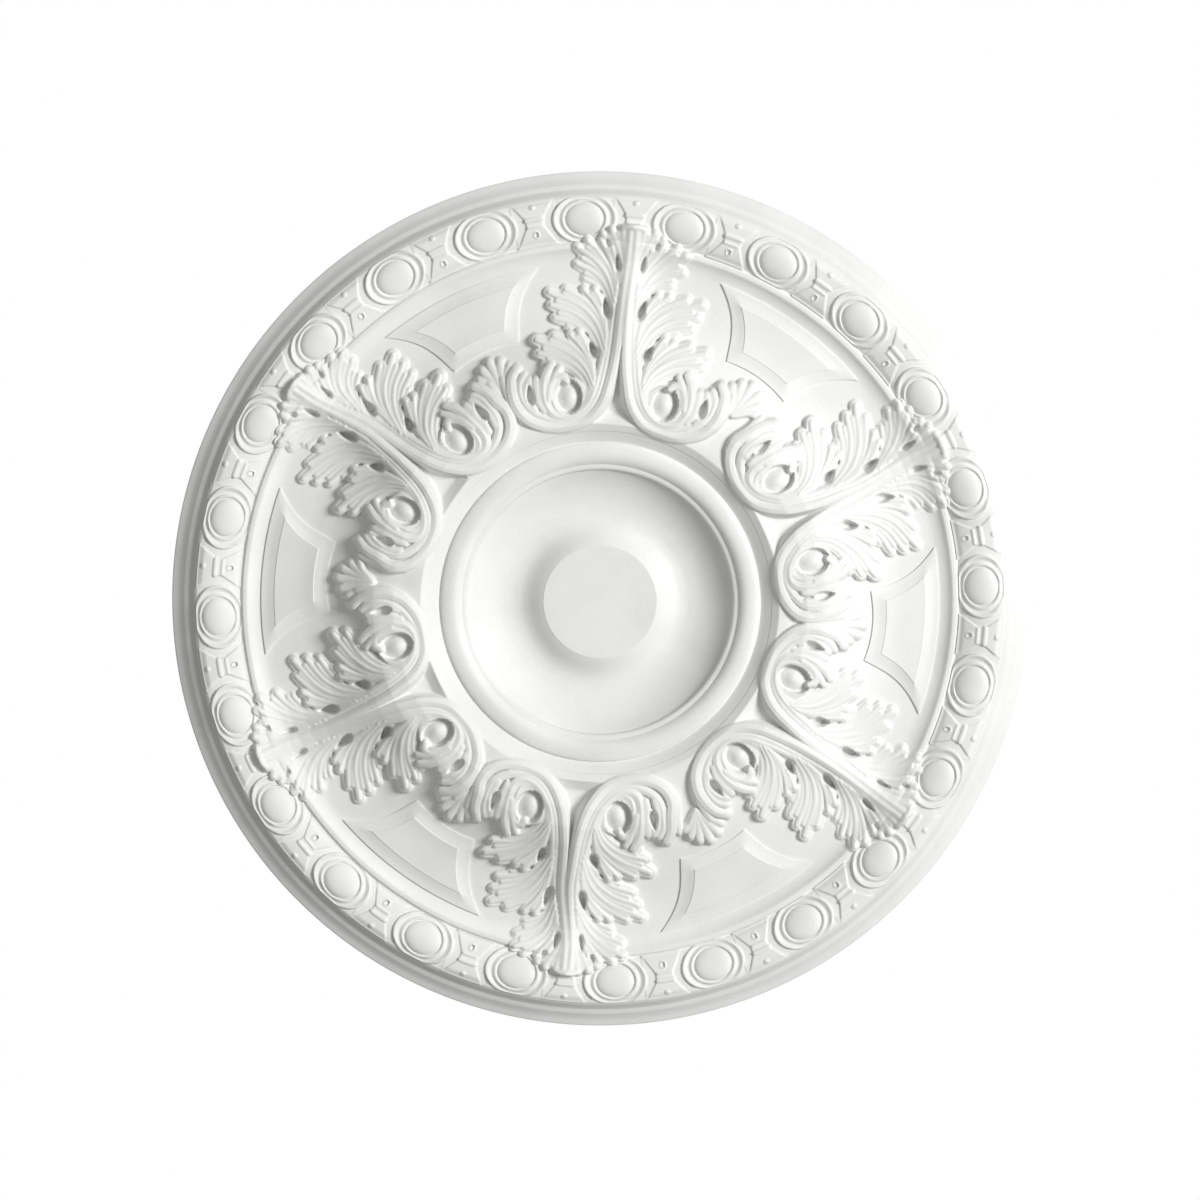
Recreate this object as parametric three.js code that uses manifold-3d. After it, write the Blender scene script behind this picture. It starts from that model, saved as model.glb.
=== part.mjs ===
// Ceiling rose with an egg-and-dart border and six acanthus leaves, one white casting, in millimetres.
// The flat back lies on the plane z = 0, against the ceiling, and the ornament hangs below it.
// A depth is how far a surface stands down from the ceiling, so a point's z is minus its depth.

import * as THREE from "three";
import { mergeVertices } from "three/addons/utils/BufferGeometryUtils.js";
import Module from "manifold-3d";

const wasm = await Module();
wasm.setup();

// Driving dimensions of the turned body
const ROSE_RADIUS = 365;
const EDGE_DEPTH = 8;
const BUTTON_RADIUS = 48;
const BUTTON_DEPTH = 25;
const DISH_RADIUS = 112;
const DISH_DEPTH = 13;
const COLLAR_RADIUS = 127;
const COLLAR_DEPTH = 41.5;
const CROWN_RADIUS = 152;
const CROWN_DEPTH = 47.5;
const VALLEY_RADIUS = 286;
const VALLEY_DEPTH = 12;
const BAND_INNER_RADIUS = 308;
const BAND_CREST_RADIUS = 338;
const BAND_CREST_DEPTH = 24.5;
const BODY_SIDES = 48;

// Driving dimensions of the ornament
const LEAVES = 6;
const EGGS = 24;
const EGG_RING_RADIUS = 324.5;
const EGG_HALF_WIDTH = 16.5;
const EGG_HALF_LENGTH = 14.5;
const EGG_RISE = 6;
const SHELL_RISE = 3.4;
const SHELL_REACH = 1.72;
const EGG_SIDES = 8;
const DART_LENGTH = 40;
const DART_WIDTH = 12;
const DART_RISE = 3;
const PANEL_OUTER_RADIUS = 288.5;
const PANEL_INNER_RADIUS = 233;
const PANEL_OUTER_HALF_ANGLE = THREE.MathUtils.degToRad(14.3);
const PANEL_INNER_HALF_ANGLE = THREE.MathUtils.degToRad(7.4);
const PANEL_SIDE_BOW = 0.12;
const PANEL_INNER_BOW = 3;
const PANEL_BEVEL = 11;
const PANEL_STEP = 1.6;
const PANEL_RISE = 4.6;
const BURIED = 7;

const leafPitch = (2 * Math.PI) / LEAVES;
const eggPitch = (2 * Math.PI) / EGGS;

// The turned section, from the centre of the face out to the back's edge, as [radius, depth]
const section = [
  [BUTTON_RADIUS, BUTTON_DEPTH],
  [BUTTON_RADIUS + 10, BUTTON_DEPTH - 7],
  [BUTTON_RADIUS + 23, DISH_DEPTH],
  [DISH_RADIUS - 20, DISH_DEPTH + 4],
  [DISH_RADIUS, DISH_DEPTH + 17.5],
  [COLLAR_RADIUS - 8, COLLAR_DEPTH - 3.5],
  [COLLAR_RADIUS, COLLAR_DEPTH],
  [COLLAR_RADIUS + 9, COLLAR_DEPTH - 3],
  [CROWN_RADIUS, CROWN_DEPTH],
  [CROWN_RADIUS + 30, CROWN_DEPTH - 2.5],
  [CROWN_RADIUS + 62, CROWN_DEPTH - 19.5],
  [CROWN_RADIUS + 82, VALLEY_DEPTH + 7],
  [VALLEY_RADIUS, VALLEY_DEPTH],
  [BAND_INNER_RADIUS - 6, VALLEY_DEPTH + 6.3],
  [BAND_INNER_RADIUS, VALLEY_DEPTH + 5],
  [BAND_CREST_RADIUS, BAND_CREST_DEPTH],
  [BAND_CREST_RADIUS + 10, BAND_CREST_DEPTH - 6.5],
  [BAND_CREST_RADIUS + 16, BAND_CREST_DEPTH - 8.5],
  [ROSE_RADIUS, EDGE_DEPTH],
];

// Depth of the turned face at a radius
function faceDepth(radius) {
  const outer = section.findIndex(([r]) => r >= radius);
  if (outer <= 0) {
    return outer < 0 ? EDGE_DEPTH : BUTTON_DEPTH;
  }
  const [r0, d0] = section[outer - 1];
  const [r1, d1] = section[outer];
  return d0 + ((d1 - d0) * (radius - r0)) / (r1 - r0);
}

// A closed geometry as a solid, turned right side out if its faces point in
function solid(geometry) {
  const bare = geometry.clone();
  bare.deleteAttribute("normal");
  bare.deleteAttribute("uv");
  const merged = mergeVertices(bare, 1e-3);
  const vertProperties = new Float32Array(merged.attributes.position.array);
  const triVerts = new Uint32Array(merged.index.array);
  const made = new wasm.Manifold(new wasm.Mesh({ numProp: 3, vertProperties, triVerts }));
  if (made.volume() > 0) {
    return made;
  }
  for (let i = 0; i < triVerts.length; i += 3) {
    [triVerts[i + 1], triVerts[i + 2]] = [triVerts[i + 2], triVerts[i + 1]];
  }
  return new wasm.Manifold(new wasm.Mesh({ numProp: 3, vertProperties, triVerts }));
}

// Moves every vertex of a geometry to where a function of its old place puts it
function reshape(geometry, place) {
  const position = geometry.attributes.position;
  const vertex = new THREE.Vector3();
  for (let i = 0; i < position.count; i += 1) {
    vertex.fromBufferAttribute(position, i);
    position.setXYZ(i, ...place(vertex));
  }
  return geometry;
}

// The turned body, with its flat back closed
function body() {
  const profile = [[0, BUTTON_DEPTH], ...section, [ROSE_RADIUS, 0], [0, 0]];
  const points = profile.map(([radius, depth]) => new THREE.Vector2(radius, depth));
  const turned = new THREE.LatheGeometry(points, BODY_SIDES);
  return solid(reshape(turned, (v) => [v.x, v.z, -v.y]));
}

// One egg in its shell, a lathe shape stretched to an oval and set on the convex band
function egg(angle) {
  const reach = SHELL_REACH;
  const points = [
    [0, EGG_RISE],
    [0.8, EGG_RISE * 0.62],
    [1.15, 0.6],
    [1.5, SHELL_RISE],
    [reach, -BURIED],
    [0, -BURIED],
  ].map(([r, h]) => new THREE.Vector2(r, h));
  const shape = new THREE.LatheGeometry(points, EGG_SIDES);
  return solid(
    reshape(shape, (v) => {
      const radius = EGG_RING_RADIUS + v.z * EGG_HALF_LENGTH;
      const turn = angle + (v.x * EGG_HALF_WIDTH) / EGG_RING_RADIUS;
      const depth = faceDepth(Math.min(radius, BAND_CREST_RADIUS)) + v.y;
      return [radius * Math.cos(turn), radius * Math.sin(turn), -depth];
    }),
  );
}

// The dart between two shells, a plain bar that follows the band
function dart(angle) {
  const shape = new THREE.BoxGeometry(1, 1, 1);
  return solid(
    reshape(shape, (v) => {
      const radius = EGG_RING_RADIUS + v.z * DART_LENGTH;
      const turn = angle + (v.x * DART_WIDTH) / EGG_RING_RADIUS;
      const depth = faceDepth(Math.min(radius, BAND_CREST_RADIUS)) + (v.y > 0 ? DART_RISE : -BURIED);
      return [radius * Math.cos(turn), radius * Math.sin(turn), -depth];
    }),
  );
}

// A stepped border that bevels up to a raised field, with its sides and inner edge bowed in
function panel(angle) {
  const columns = 4;
  const rows = 3;
  const shape = new THREE.BoxGeometry(columns, 1, rows, columns, 1, rows);
  return solid(
    reshape(shape, (v) => {
      const side = Math.abs(v.x) > columns / 2 - 0.5;
      const end = Math.abs(v.z) > rows / 2 - 0.5;
      const low = PANEL_INNER_RADIUS + (side ? 0 : PANEL_INNER_BOW);
      const edge = v.z < 0 ? low : PANEL_OUTER_RADIUS;
      const radius = edge - (end ? 0 : Math.sign(v.z) * PANEL_BEVEL);
      const t = (radius - PANEL_INNER_RADIUS) / (PANEL_OUTER_RADIUS - PANEL_INNER_RADIUS);
      const straight = THREE.MathUtils.lerp(PANEL_INNER_HALF_ANGLE, PANEL_OUTER_HALF_ANGLE, t);
      const half = straight * (1 - PANEL_SIDE_BOW * Math.sin(Math.PI * t));
      const turn = side ? half : half - PANEL_BEVEL / radius;
      const top = faceDepth(radius) + (side || end ? PANEL_STEP : PANEL_RISE);
      const depth = v.y > 0 ? top : faceDepth(radius) - BURIED;
      const place = angle + Math.sign(v.x) * turn;
      return [radius * Math.cos(place), radius * Math.sin(place), -depth];
    }),
  );
}

// Half a leaf in its own plane, x across from its axis and y out from the rose's centre.
// Each lobe is the teeth at its tip and the drilled eye where it parts from the next lobe.
const LOBES = [
  { teeth: [[8, 320], [24, 316]], eye: [12, 286] },
  { teeth: [[42, 308], [43, 284]], eye: [17, 246] },
  { teeth: [[62, 264], [60, 238]], eye: [24, 212] },
  { teeth: [[74, 220], [66, 198]], eye: [30, 186] },
];
const LEAF_RISE = 9;
const LEAF_BOW = 0.12;
const NOTCH_DEPTH = 0.24;
const FURROW_SHARE = 0.55;
const EYE_SHARE = 0.3;
const STEM_TOP = 306;
const STEM_FOOT = 222;

// The scroll that carries the leaf's stem round to the next one, and the curl of the volute
const SCROLL_EDGE_SHARE = 0.55;
const SCROLLS = [
  {
    steps: 6,
    rise: 8,
    inner: [[-1, 236], [2, 208], [10, 174], [28, 148], [55, 139], [82, 146], [97, 164], [99, 184], [84, 196]],
    outer: [[8, 240], [14, 212], [20, 184], [34, 164], [55, 155], [74, 160], [83, 172], [84, 182], [80, 188]],
  },
  {
    steps: 4,
    rise: 7,
    inner: [[28, 166], [36, 152], [56, 150], [69, 164], [71, 182], [62, 199], [44, 203]],
    outer: [[37, 168], [42, 162], [52, 161], [58, 168], [59, 180], [55, 189], [46, 193]],
  },
];

// The rays of the blade from its tip round to the volute: a ridge to each tooth, a furrow to each notch
function rays() {
  const list = [];
  for (const { teeth, eye } of LOBES) {
    teeth.forEach(([x, y], i) => {
      list.push({ x, y, rise: LEAF_RISE });
      const next = teeth[i + 1];
      if (next) {
        const middle = [(x + next[0]) / 2, (y + next[1]) / 2];
        list.push({
          x: THREE.MathUtils.lerp(middle[0], eye[0], NOTCH_DEPTH),
          y: THREE.MathUtils.lerp(middle[1], eye[1], NOTCH_DEPTH),
          rise: LEAF_RISE * FURROW_SHARE,
        });
      }
    });
    list.push({ x: eye[0], y: eye[1], rise: LEAF_RISE * EYE_SHARE });
  }
  return list;
}

// A point of a leaf's plane and a rise above the turned face as a point of the rose
function onFace(x, y, rise, axis, side) {
  const radius = Math.hypot(x, y);
  const angle = axis - side * Math.atan2(x, y);
  return [radius * Math.cos(angle), radius * Math.sin(angle), -(faceDepth(radius) + rise)];
}

// A leaf, a box bent so that its lines fan out from the stem to the teeth and notches of both sides
function blade(axis) {
  const list = rays();
  const shape = new THREE.BoxGeometry(2, 1, 1, 4, 1, list.length - 1);
  return solid(
    reshape(shape, (v) => {
      const t = v.z + 0.5;
      const ray = list[Math.round(t * (list.length - 1))];
      const out = Math.abs(v.x);
      const rootY = THREE.MathUtils.lerp(STEM_TOP, STEM_FOOT, t);
      const bow = Math.sin(Math.PI * out) * LEAF_BOW * ray.x;
      const x = ray.x * out - bow;
      const y = THREE.MathUtils.lerp(rootY, ray.y, out) + bow;
      const lift = THREE.MathUtils.lerp(LEAF_RISE, ray.rise, out);
      return onFace(x, y, v.y > 0 ? lift : -BURIED, axis, Math.sign(v.x) || 1);
    }),
  );
}

function smoothCurve(points) {
  return new THREE.CatmullRomCurve3(points.map(([x, y]) => new THREE.Vector3(x, y, 0)));
}

// One scroll, a box bent between its two edges with a ridge along its middle
function scroll(spec, axis, side) {
  const inner = smoothCurve(spec.inner);
  const outer = smoothCurve(spec.outer);
  const shape = new THREE.BoxGeometry(1, 1, 1, 2, 1, spec.steps);
  return solid(
    reshape(shape, (v) => {
      const t = v.z + 0.5;
      const point = inner.getPoint(t).lerp(outer.getPoint(t), v.x + 0.5);
      const lift = v.x === 0 ? spec.rise : spec.rise * SCROLL_EDGE_SHARE;
      return onFace(point.x, point.y, v.y > 0 ? lift : -BURIED, axis, side);
    }),
  );
}

const parts = [];
for (let i = 0; i < EGGS; i += 1) {
  parts.push(egg((i + 0.5) * eggPitch));
  parts.push(dart(i * eggPitch));
}
for (let i = 0; i < LEAVES; i += 1) {
  const axis = i * leafPitch;
  parts.push(panel(axis + leafPitch / 2));
  parts.push(blade(axis));
  for (const side of [1, -1]) {
    for (const spec of SCROLLS) {
      parts.push(scroll(spec, axis, side));
    }
  }
}

// The whole casting joined into one closed solid
function casting() {
  const joined = parts.reduce((sum, part) => sum.add(part), body());
  const mesh = joined.getMesh();
  const geometry = new THREE.BufferGeometry();
  geometry.setAttribute("position", new THREE.BufferAttribute(mesh.vertProperties, 3));
  geometry.setIndex(new THREE.BufferAttribute(mesh.triVerts, 1));
  return geometry;
}

const plaster = new THREE.MeshStandardMaterial({ color: 0xf2f2f0, roughness: 0.65, metalness: 0 });

const ceilingRose = new THREE.Group();
const rose = new THREE.Mesh(casting(), plaster);
rose.name = "ceiling_rose";
ceilingRose.add(rose);

export default ceilingRose;
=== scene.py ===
"""Ceiling rose: the finished look of a white casting with acanthus leaves and an egg-and-dart border.

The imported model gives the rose's place and size. It is replaced by finely carved pieces: the turned
body, six sectors of leaves and scrolls, the bevelled panels, and the border of eggs and darts. Lengths
in the tables below are millimetres. A depth is measured down from the ceiling and a rise stands down
from the turned face, so both are turned into minus z at the end.
"""

import math

import bmesh
import bpy
import numpy as np
from bpy.props import FloatProperty, IntProperty, PointerProperty, StringProperty
from mathutils import Matrix, Vector


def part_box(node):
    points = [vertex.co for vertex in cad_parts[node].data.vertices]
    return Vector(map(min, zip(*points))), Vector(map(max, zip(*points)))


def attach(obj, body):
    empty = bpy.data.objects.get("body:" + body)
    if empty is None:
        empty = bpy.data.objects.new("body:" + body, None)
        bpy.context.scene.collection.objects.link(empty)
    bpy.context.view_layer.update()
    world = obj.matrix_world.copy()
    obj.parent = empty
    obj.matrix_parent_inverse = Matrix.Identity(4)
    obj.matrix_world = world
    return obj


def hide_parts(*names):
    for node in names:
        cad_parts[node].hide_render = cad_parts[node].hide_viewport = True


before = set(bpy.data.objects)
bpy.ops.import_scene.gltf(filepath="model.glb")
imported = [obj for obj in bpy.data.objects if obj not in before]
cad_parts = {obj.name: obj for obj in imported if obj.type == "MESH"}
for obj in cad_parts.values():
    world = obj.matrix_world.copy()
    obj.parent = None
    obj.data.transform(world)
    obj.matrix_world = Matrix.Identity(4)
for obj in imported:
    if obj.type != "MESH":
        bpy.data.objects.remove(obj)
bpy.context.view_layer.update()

bl_info = {
    "name": "Ceiling rose",
    "version": (1, 0, 0),
    "blender": (4, 5, 0),
    "location": "View3D > Sidebar > Ceiling rose",
    "description": "Carves a moulded ceiling rose round its packed model",
    "category": "Add Mesh",
}

NODE = "ceiling_rose"
BODY = "root"
MM = 0.001
ROSE_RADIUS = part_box(NODE)[1].x / MM

LEAVES = 6
EGGS = 24
LEAF_PITCH = 2 * math.pi / LEAVES
EGG_PITCH = 2 * math.pi / EGGS

# Rings of the turned face where its pieces meet
CARVED_INNER = 145.0
CARVED_OUTER = 322.0
# Depth of the channel's floor, into which the carved sectors are set
CHANNEL_DEPTH = 3.0
BACK_CHAMFER = 1.0
# The last fall from the rim to the rose's edge
EDGE_FALL = 0.7

# How far one face turns from the next, in degrees, for the arris between them to stay crisp
BODY_ARRIS = 24
SECTOR_ARRIS = 80
PANEL_ARRIS = 16
SHELL_ARRIS = 50
DART_ARRIS = 60

# Vertices closer together than this, in millimetres, are merged
MERGE_DISTANCE = 1e-4
# A face closer to the ceiling than this, in metres, belongs to the back
BACK_DISTANCE = 1e-6

# The turned section as smooth stretches of (radius, depth), each ending at an arris or a change of curve
BOSS = [(0, 25), (24, 25), (46, 25), (48, 24.8)]
SWEEP = [(48, 24.8), (51.5, 23), (56, 20), (61, 16.6), (67, 13.9), (74, 13)]
DISH = [(74, 13), (84, 14.3), (95, 18.2), (104, 23.5), (112, 30.3)]
RISER = [(112, 30.3), (112.6, 34), (114, 35.6), (117, 36.4)]
COLLAR = [(117, 36.4), (119.6, 39.2), (123, 41), (127, 41.5), (131.5, 41), (134.4, 39.8), (135.6, 38)]
FUNNEL = [(136.2, 38), (143.8, 42.9), (151.6, 47.7)]
FIELD = [
    (151.6, 47.7), (158, 47.2), (167, 45.7), (175, 44.4), (184, 42.3), (192, 39.5), (201, 35.5),
    (214, 28), (231, 20.3), (244, 16.3), (256, 13.8), (274, 12.3), (286, 12), (292, 13),
    (296.5, 15), (300, 18),
]
FILLET = [(300, 18), (300.6, 18.3), (304.6, 18.3)]
QUIRK = [(304.6, 18.3), (305.4, 16), (306.8, 16), (307.8, 17.4)]
OVOLO = [(307.8, 17.4), (313, 19.8), (320, 22.3), (329, 24.1), (338, 24.5), (342.5, 24.1)]
FALL = [(342.5, 24.1), (345, 22.4), (347.4, 19.6), (349.6, 17.2), (351, 16.4)]
LIST = [(351, 16.4), (354, 14.9)]
RIM = [(354, 14.9), (356, 13.2), (359, 11), (362, 9.5), (364.3, 8.5)]
SPANS = [BOSS, SWEEP, DISH, RISER, COLLAR, FUNNEL, FIELD, FILLET, QUIRK, OVOLO, FALL, LIST, RIM]

# Steps that a smooth line takes between two of its points
SECTION_STEPS = 3
RIB_STEPS = 8
CURL_STEPS = 6
PALMETTE_STEPS = 6
DART_STEPS = 4

# Depth of the ridges along a leaf's axis, as (radius, depth)
LEAF_CREST = [
    (140, 46.4), (152, 51.4), (162, 53), (175, 54), (192, 52), (207, 47), (222, 40.4), (240, 32.8),
    (256, 27), (270, 23), (282, 21.3), (290, 22), (299, 24.6), (310, 29), (318, 32.4), (325, 34),
]
# Share of its height that a leaf loses to each side, as (radius, share), how far across most of it is lost,
# and how sharply
LEAF_DROOP = [(140, 0.12), (188, 0.16), (215, 0.38), (240, 0.5), (270, 0.52), (300, 0.46), (325, 0.3)]
DROOP_REACH = 13.0
DROOP_BEND = 1.6

# Half a leaf as groups of ribs that lie side by side. A rib runs from root to tip: points across and out,
# half-widths, and how far each end is sunk below the crest.
STEMS = [
    ([(76, 148), (85, 156.4), (90, 164.4), (94.4, 173.6), (97.6, 182)], (2.4, 3.2), (0.8, 2)),
    ([(3, 319), (3.1, 273), (3.2, 240), (4.6, 209), (7.6, 187), (12.5, 168), (23, 153.5), (40, 145.8),
      (58, 144.4), (73, 148.8), (83.4, 158.4), (88, 168.5), (90, 176.5), (90, 184), (87.4, 190.6)],
     (3, 4.8), (0, 0)),
    ([(8.6, 266), (10.2, 225), (12.2, 200), (15.4, 180), (22, 164), (32.4, 153.8), (45, 149.8), (58, 151.4),
      (70, 156), (78.4, 164), (82.2, 173), (82.6, 180), (80.6, 185.4)], (3.2, 3.8), (1.4, 1)),
    ([(13, 228), (15, 205), (18.4, 184), (23.4, 168), (32.5, 157.4), (44, 153.4), (54, 157), (60.5, 167),
      (62.4, 179), (61.4, 189), (58, 197)], (2.2, 4.2), (1, 0.2)),
    ([(23, 194), (23.4, 177), (28, 163.5), (38, 156.4), (48, 158.4), (54, 167.5), (56, 179), (54, 188),
      (50.6, 195.4)], (2.6, 3.2), (1.6, 0.8)),
]
EYE_LIPS = [
    ([(60, 158), (65, 165), (67.2, 174), (69.4, 183)], (3, 4.2), (1, 1.2)),
    ([(68, 157), (74.6, 164), (77, 173), (75.6, 182.6)], (3, 4), (1, 1.4)),
]
# Small sprigs beside the eyes, which stand over the lobe below them
LOWER_SPRIG = [
    ([(20.6, 190), (25.4, 207), (31.5, 219), (36.4, 226.6)], (2, 3.7), (0.6, -0.4)),
    ([(20.4, 188), (27, 205), (35.4, 216.4), (43.6, 223.6)], (2.2, 3.7), (0.4, -0.2)),
]
MIDDLE_SPRIG = [
    ([(13.6, 228), (17, 245), (22, 256), (27.2, 263)], (1.8, 3.6), (0.6, -0.4)),
    ([(13, 223), (19.4, 242.6), (28, 255), (36.4, 262.6)], (2, 3.7), (0.4, -0.2)),
]
UPPER_SPRIG = [
    ([(8.4, 270), (11.5, 286), (17, 299.6)], (1.5, 3), (0.6, 0)),
    ([(8.4, 264), (14.6, 284), (26.4, 304.8)], (1.8, 3.7), (0.4, -0.2)),
]
LOWER_LOBE = [
    ([(20.4, 186), (28.4, 202.6), (41.6, 214.6), (57.6, 221.6)], (2.2, 4.6), (0.6, 0.4)),
    ([(20.6, 182.6), (30, 198.6), (47, 210), (71.6, 217)], (2.3, 5), (0.4, 0)),
    ([(21.2, 179), (31, 193.6), (48, 203.6), (68.5, 206)], (2.3, 4.6), (1, 1.4)),
    ([(22.8, 175), (31.4, 188), (44, 196.6), (62, 198)], (2.2, 4), (2, 3)),
]
MIDDLE_LOBE = [
    ([(13, 219), (20.6, 239), (33, 252.6), (51.6, 261.4)], (2, 4.6), (0.6, 0.4)),
    ([(13, 214), (22, 234.6), (38, 249), (65, 258)], (2.2, 5), (0.3, 0)),
    ([(13.4, 208), (24, 228.6), (40.4, 241.6), (62, 247.4)], (2.2, 4.7), (0.7, 0.8)),
    ([(14, 203), (24.6, 221.4), (39.6, 233), (58, 237)], (2.1, 4.2), (1.2, 2)),
    ([(15, 199), (24, 214), (33.6, 223.6), (44, 227)], (2, 3.6), (2, 3.4)),
]
UPPER_LOBE = [
    ([(8.6, 260), (16, 280), (27, 293.6), (38, 303.6)], (2, 4.2), (0.5, 0.4)),
    ([(9, 255), (17.6, 274.6), (29.6, 287.6), (46, 297.4)], (2.2, 4.8), (0.3, 0)),
    ([(9.4, 250), (18.6, 267.6), (30, 278), (45, 283.6)], (2.2, 4.4), (0.8, 0.9)),
    ([(10, 246), (18.6, 260), (27, 268), (37, 271.6)], (2.1, 3.8), (1.4, 2)),
]
TIP = [
    ([(4.5, 282), (7, 300), (9.5, 316)], (1.8, 3.6), (0.6, 0.4)),
    ([(5.5, 276), (11, 297), (18.5, 314)], (1.8, 4), (0.6, 0.4)),
    ([(6.5, 272), (13.5, 293), (25.5, 310)], (1.6, 3.8), (1, 0.8)),
]
# The lip that curls over at the leaf's tip
TIP_LIP = [
    ([(0, 317.8), (5, 317.8), (9.4, 316.4)], (2.2, 1.8), (-1.2, 0)),
]
# The form of a lobe's ribs, in the order that is given at RIB_GROUPS
LOBE_FORM = (0.84, 0.54, 0, 1.4)
# A low mass under the scroll, on which its ribs are modelled
SCROLL_BED = [
    ([(40, 170), (62, 171)], (17, 17), (1.8, 1.8)),
    ([(62, 171), (76, 175)], (12, 12), (2, 2)),
]
# Each group and the form of its ribs: how far the back stands up as a share of the crown's half-width, the
# crown's share of the rib's width, how deep the reeding is, how far the middle is dished below the two ends,
# and whether lesser ribs lie between
RIB_GROUPS = [
    (SCROLL_BED, (0.06, 1, 0, 0), False), (STEMS, (0.48, 1, 0.4, 0), False),
    (EYE_LIPS, (0.45, 1, 0, 0), False),
    (LOWER_LOBE, LOBE_FORM, True), (MIDDLE_LOBE, LOBE_FORM, True), (UPPER_LOBE, LOBE_FORM, True),
    (LOWER_SPRIG, LOBE_FORM, True), (MIDDLE_SPRIG, LOBE_FORM, True), (UPPER_SPRIG, LOBE_FORM, True),
    (TIP, (0.7, 0.7, 0, 0.4), True), (TIP_LIP, (0.5, 1, 0, 0), False),
]
# How much wider than drawn the tips of a lobe's ribs are, so that they close up
LOBE_SPREAD = 1.24
# A lesser rib lies between two others, and stops short of the notch between their tips
LESSER_LENGTH = 0.93
LESSER_SINK = 0.5
# The share of a rib's length at which its tip starts to taper, and how much of its width is left at the end
TAPER_FROM = 0.84
TAPER_TO = 0.74
# Points along each rib of a lobe, and along each of the other ribs
LOBE_POINTS = 24
STEM_POINTS = 72

# Drilled eyes where lobes part: centre, length and width, lean and depth below the crest
EYES = [
    ((10.8, 287.5), (18, 5.6), 10, 10),
    ((21, 303.5), (9, 4.6), 24, 6),
    ((15, 248.5), (22, 8.4), 16, 15),
    ((21.8, 262), (9, 2.6), 46, 6),
    ((23.2, 212.5), (18, 9), 28, 16),
    ((30, 225), (10, 3), 46, 7),
    ((73, 170), (20, 8), 14, 11),
    ((47.3, 190.8), (9, 3), 28, 9),
    ((47.3, 181.8), (8, 3), 30, 9),
]
EYE_WALL = 7.0
# An eye narrows from its blunt inner end outwards, and its walls start a little above the crest
EYE_TAPER = 0.55
EYE_BLUNT = 0.4
EYE_LIFT = 0.6
# The bowl of the volute and the bead that lies in it: centre, half-length and half-width, lean and depth
BOWL = ((40.6, 171.6), (14.6, 11.4), 6, 15)
BOWL_LIP = 0.4
BOWL_FULLNESS = 0.3
BEAD = ((40, 171.2), (13.4, 10), 8, 4.6)
BEAD_FALL = 7.0
# Fingers that curl over the bowl's upper rim
CURLS = [
    ([(57.4, 168), (57.4, 178), (54, 185.6), (48.4, 188), (43.6, 184.6)], (2.6, 3), (0.4, 1.6)),
]
CURL_FORM = (0.5, 1)

# The palmette between two facing scrolls, behind them: half of it, from its foot to its tips
PALMETTE = [
    ([(0, 194), (0, 208), (0, 223)], (2.6, 5.6), (4, 2)),
    ([(1.4, 195), (4.2, 208), (8, 219.6)], (2.4, 5.4), (4, 2.2)),
    ([(2.8, 196), (7.4, 206.4), (13.4, 213.4)], (2.4, 5), (4, 2.4)),
    ([(4, 197), (9.4, 203.6), (15.6, 206.4)], (2.2, 4.4), (4, 2.8)),
]
PALMETTE_RISE = 10.0
PALMETTE_FORM = (0.7, 0.8)

# How far below the turned face a carved field starts where nothing is raised
BURIED = 6.0
WALL_SLOPE = 3.2
# 2 gives a rib a round back, and more gives it a flatter back with sharper hollows beside it
RIB_FULLNESS = 2.3
# Height of the hollow fillet where a rib meets the ground
JUNCTION = 0.9
# A stretch of a line counts as at least this long
LEAST_LENGTH = 1e-6

# The two kinds of leaf alternate, and each has its foot turned a little about the rose's centre. A long
# leaf's scrolls and lobes also lie further out, and its scrolls are drawn in towards its axis. Each change
# comes between two distances out from the centre, and goes between two others.
FOOT_TURN = {"short": math.radians(-0.5), "long": math.radians(1.9)}
FOOT_TURN_GOES = (236, 300)
LONG_SHIFT = 7.5
LONG_SHIFT_COMES = (142, 172)
LONG_SHIFT_GOES = (272, 316)
# The share of the shift that is lost far from the axis, between two distances across
SHIFT_LOSS = 0.5
SHIFT_LOSS_COMES = (74, 90)
LONG_DRAW = 0.07
LONG_DRAW_COMES = (150, 172)
LONG_DRAW_GOES = (196, 225)


def smooth_line(points, steps):
    """A curve through points, as an array of steps points for each stretch."""
    p = np.array([points[0], *points, points[-1]], float)
    p[0] = 2 * p[1] - p[2]
    p[-1] = 2 * p[-2] - p[-3]
    t = np.linspace(0, 1, steps, endpoint=False)[:, None]
    out = []
    for a, b, c, d in zip(p, p[1:], p[2:], p[3:]):
        out.append(b + 0.5 * t * (c - a + t * (2 * a - 5 * b + 4 * c - d + t * (3 * (b - c) + d - a))))
    return np.vstack([*out, p[-2:-1]])


def turned_section():
    """Radius and depth along the whole turned face."""
    return np.vstack([smooth_line(span, SECTION_STEPS) for span in SPANS])


SECTION = turned_section()


def face_depth(radius):
    """Depth of the turned face at each radius."""
    return np.interp(radius, SECTION[:, 0], SECTION[:, 1])


def ease(value, low, high):
    """0 below low, 1 above high, and a smooth step between."""
    t = np.clip((value - low) / (high - low), 0, 1)
    return t * t * (3 - 2 * t)


def leaf_rise(x, y):
    """How far a leaf's ridges stand off the turned face."""
    crest, droop = np.array(LEAF_CREST), np.array(LEAF_DROOP)
    radius = np.hypot(x, y)
    rise = np.interp(radius, crest[:, 0], crest[:, 1]) - face_depth(radius)
    lost = np.interp(radius, droop[:, 0], droop[:, 1])
    return rise * (1 - lost * (1 - np.exp(-np.abs(x / DROOP_REACH) ** DROOP_BEND)))


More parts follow.
